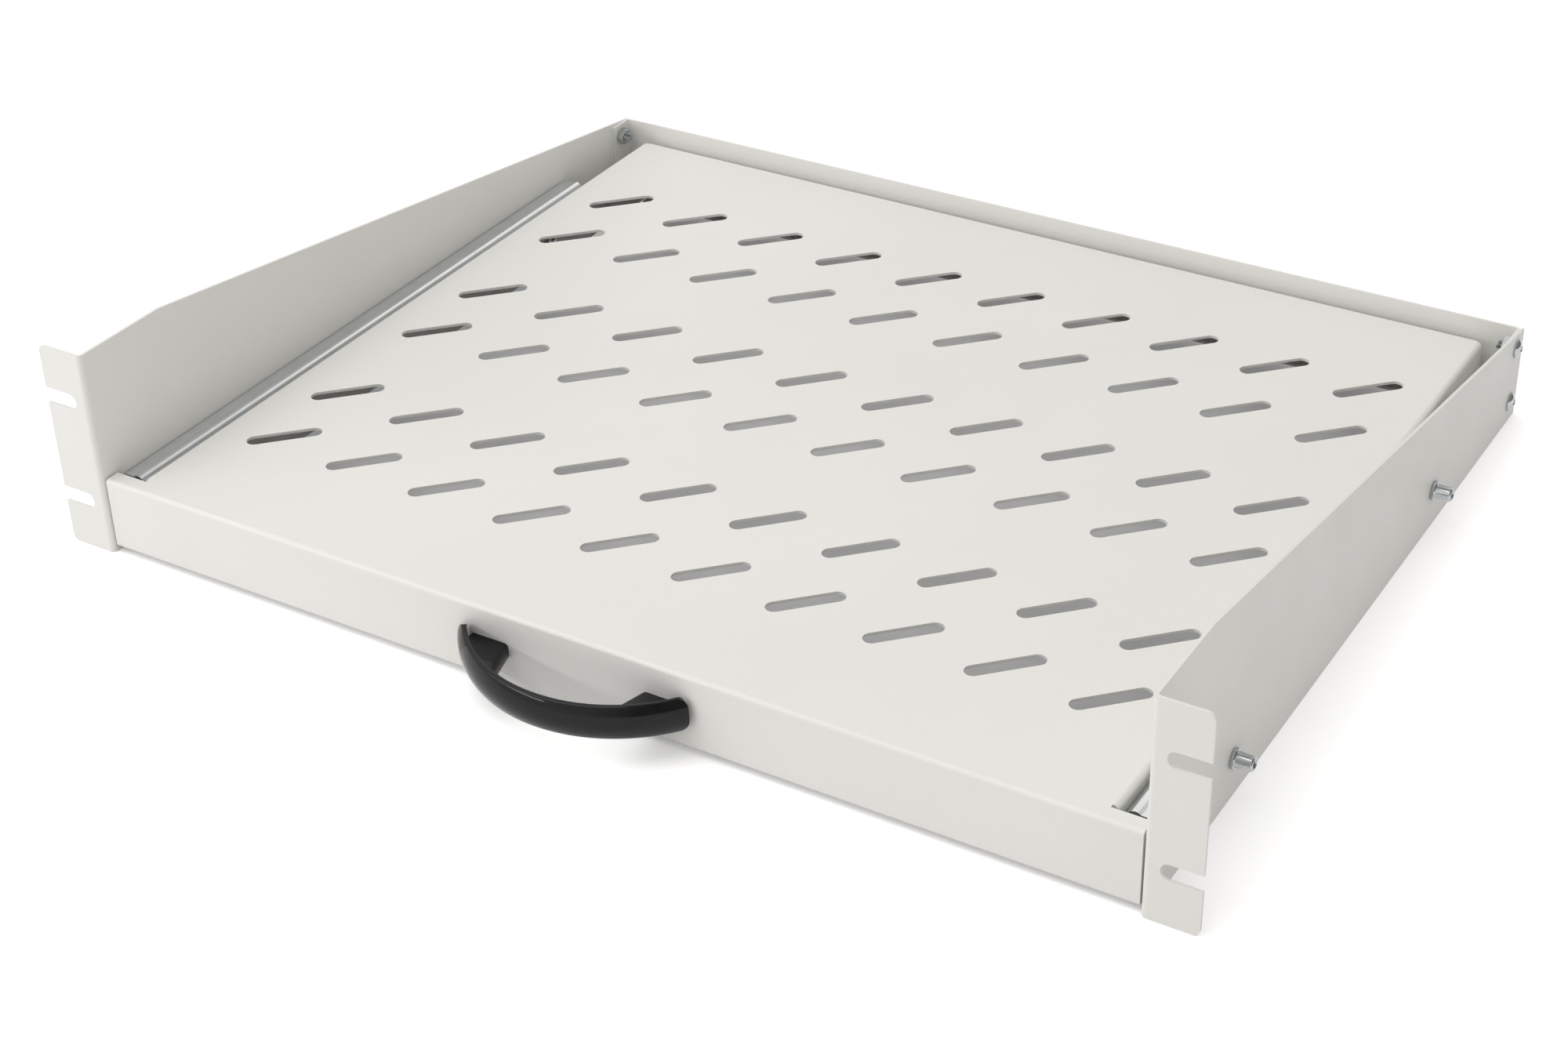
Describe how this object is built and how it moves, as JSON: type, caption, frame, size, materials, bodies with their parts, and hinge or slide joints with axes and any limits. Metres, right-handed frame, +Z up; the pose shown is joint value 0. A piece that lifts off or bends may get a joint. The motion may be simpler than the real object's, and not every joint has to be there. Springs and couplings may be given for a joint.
{
  "type": "sliding rack shelf",
  "caption": "Sliding shelf for a 19-inch rack: slotted sheet-metal tray with a bow handle, pulled out on ball slides between tapered side plates with notched ears.",
  "frame": {"origin": "on the plane of the rack's rails, where the backs of the ears rest, midway between the ears and level with their lower ends", "axes": "+X to the right seen from the front, +Y into the rack, +Z up"},
  "size_m": [0.4826, 0.3948, 0.0881],
  "materials": {
    "powder_coat": "fine-textured light grey powder coat",
    "zinc_steel": "bright zinc-plated rolled strip",
    "plated_fasteners": "bright zinc plate",
    "cage_steel": "plain zinc-plated strip",
    "ball_steel": "polished steel",
    "black_plastic": "glossy moulding",
    "bumper_rubber": "matt"
  },
  "bodies": {
    "frame": {"left_side_plate": "powder_coat", "left_slide_outer_member": "zinc_steel", "left_rivet_nuts": "plated_fasteners", "left_slide_screws": "plated_fasteners", "left_slide_bumper": "bumper_rubber", "right_side_plate": "powder_coat", "right_slide_outer_member": "zinc_steel", "right_rivet_nuts": "plated_fasteners", "right_slide_screws": "plated_fasteners", "right_slide_bumper": "bumper_rubber", "rear_panel": "powder_coat", "rear_panel_screws": "plated_fasteners", "rear_panel_nuts": "plated_fasteners"},
    "tray": {"left_slide_inner_member": "zinc_steel", "left_tray_screws": "plated_fasteners", "left_tray_nuts": "plated_fasteners", "right_slide_inner_member": "zinc_steel", "right_tray_screws": "plated_fasteners", "right_tray_nuts": "plated_fasteners", "tray": "powder_coat", "handle": "black_plastic", "handle_screws": "plated_fasteners"},
    "left_cage": {"left_ball_cage": "cage_steel", "left_balls": "ball_steel"},
    "right_cage": {"right_ball_cage": "cage_steel", "right_balls": "ball_steel"}
  },
  "joints": [
    {"name": "tray_slide", "type": "slide", "parent": "frame", "child": "tray", "axis": [0, -1, 0], "range_m": [0, 0.22]},
    {"name": "left_cage_slide", "type": "slide", "parent": "frame", "child": "left_cage", "axis": [0, -1, 0], "range_m": [0, 0.11]},
    {"name": "right_cage_slide", "type": "slide", "parent": "frame", "child": "right_cage", "axis": [0, -1, 0], "range_m": [0, 0.11]}
  ],
  "couplings": [
    {"joint": "left_cage_slide", "follows": "tray_slide", "ratio": 0.5},
    {"joint": "right_cage_slide", "follows": "tray_slide", "ratio": 0.5}
  ]
}
